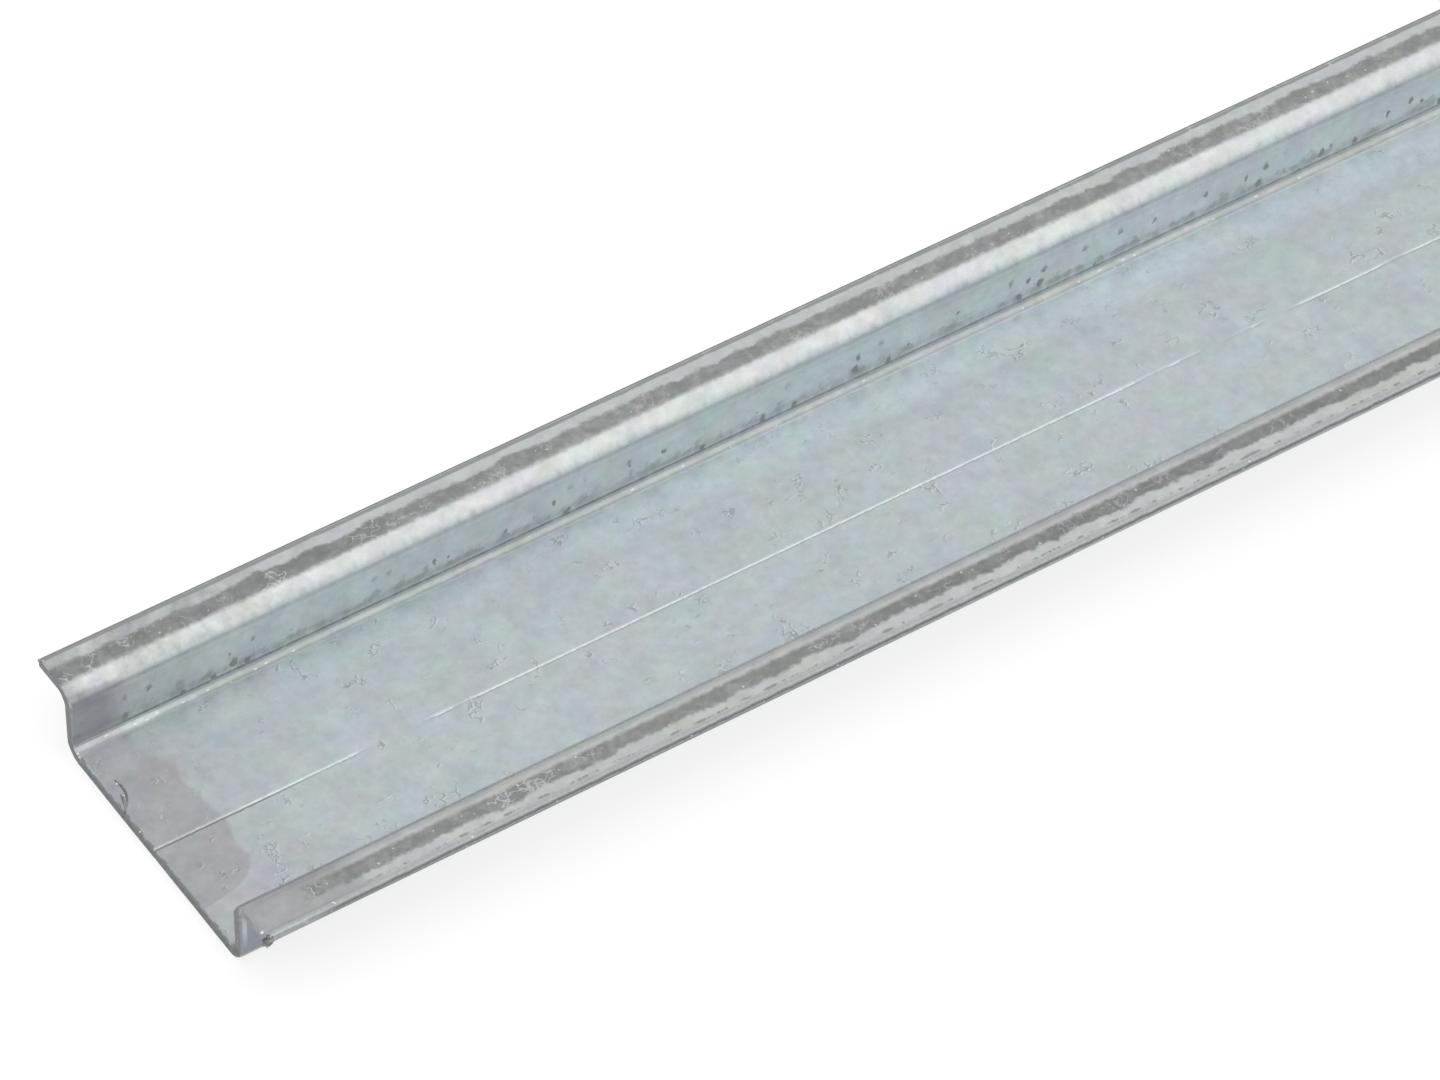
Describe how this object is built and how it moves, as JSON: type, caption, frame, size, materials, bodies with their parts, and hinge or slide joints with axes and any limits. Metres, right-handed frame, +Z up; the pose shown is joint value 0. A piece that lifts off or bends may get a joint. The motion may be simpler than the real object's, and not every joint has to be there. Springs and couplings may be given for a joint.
{
  "type": "din rail",
  "caption": "Straight top-hat mounting rail roll-formed from zinc-plated steel strip; control-gear devices clip over its outward flanges and its flat web is screwed to a panel.",
  "frame": {"origin": "middle of the web's underside, which is the face that lies on the panel", "axes": "+X along the rail, +Y across it, +Z up out of the open channel towards the flanges"},
  "size_m": [1, 0.035, 0.0075],
  "materials": {
    "zinc_plated_steel": "bright zinc plate with a faint blue-green passivation, satin on the flats and burnished to mottled grey stripes by the forming rolls"
  },
  "bodies": {
    "root": {"rail": "zinc_plated_steel"}
  },
  "joints": []
}
